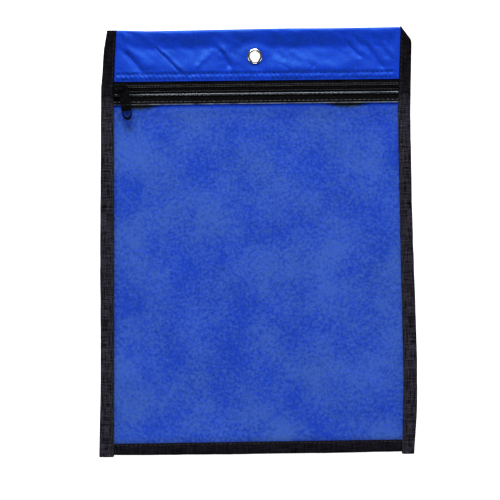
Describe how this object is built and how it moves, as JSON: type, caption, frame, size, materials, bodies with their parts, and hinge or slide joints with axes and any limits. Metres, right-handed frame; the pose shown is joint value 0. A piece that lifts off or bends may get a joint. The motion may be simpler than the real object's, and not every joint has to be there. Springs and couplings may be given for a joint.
{
  "type": "zippered deposit bag",
  "caption": "Flat rectangular pouch with a clear front window, a coil zipper under a folded fabric header, a central hanging eyelet and bound edges.",
  "frame": {"origin": "middle of the bag's footprint, on the surface that it lies on", "axes": "+X across the bag, +Y along it towards the folded header, +Z out of the front window"},
  "size_m": [0.28, 0.3806, 0.0106],
  "materials": {
    "nylon": "royal blue woven nylon with a low sheen",
    "vinyl": "clear flexible vinyl, faintly hazed",
    "binding": "black ribbed nylon binding",
    "zipper_tape": "black woven polyester tape",
    "coil": "black nylon monofilament",
    "thread": "black polyester thread",
    "header_thread": "blue polyester thread",
    "enamel": "black enamelled zinc casting",
    "nickel": "bright nickel plated brass"
  },
  "bodies": {
    "bag": {"back_panel": "nylon", "front_window": "vinyl", "left_binding": "binding", "right_binding": "binding", "bottom_binding": "binding", "upper_zipper_tape": "zipper_tape", "lower_zipper_tape": "zipper_tape", "upper_coil": "coil", "lower_coil": "coil", "upper_coil_cord": "zipper_tape", "lower_coil_cord": "zipper_tape", "upper_coil_thread": "thread", "lower_coil_thread": "thread", "eyelet": "nickel", "eyelet_washer": "nickel", "header_upper_seam": "header_thread", "header_lower_seam": "header_thread", "window_upper_seam": "thread", "window_lower_seam": "thread", "left_binding_seam": "thread", "right_binding_seam": "thread", "bottom_binding_seam": "thread"},
    "slider": {"slider_body": "enamel"},
    "pull": {"pull_tab": "enamel"}
  },
  "joints": [
    {"name": "zip_slide", "type": "slide", "parent": "bag", "child": "slider", "axis": [1, 0, 0], "range_m": [0, 0.2415]},
    {"name": "pull_swing", "type": "hinge", "parent": "slider", "child": "pull", "pos_m": [-0.1172, 0.1367, 0.00846], "axis": [0, 0, 1], "range_deg": [-30, 195]}
  ]
}
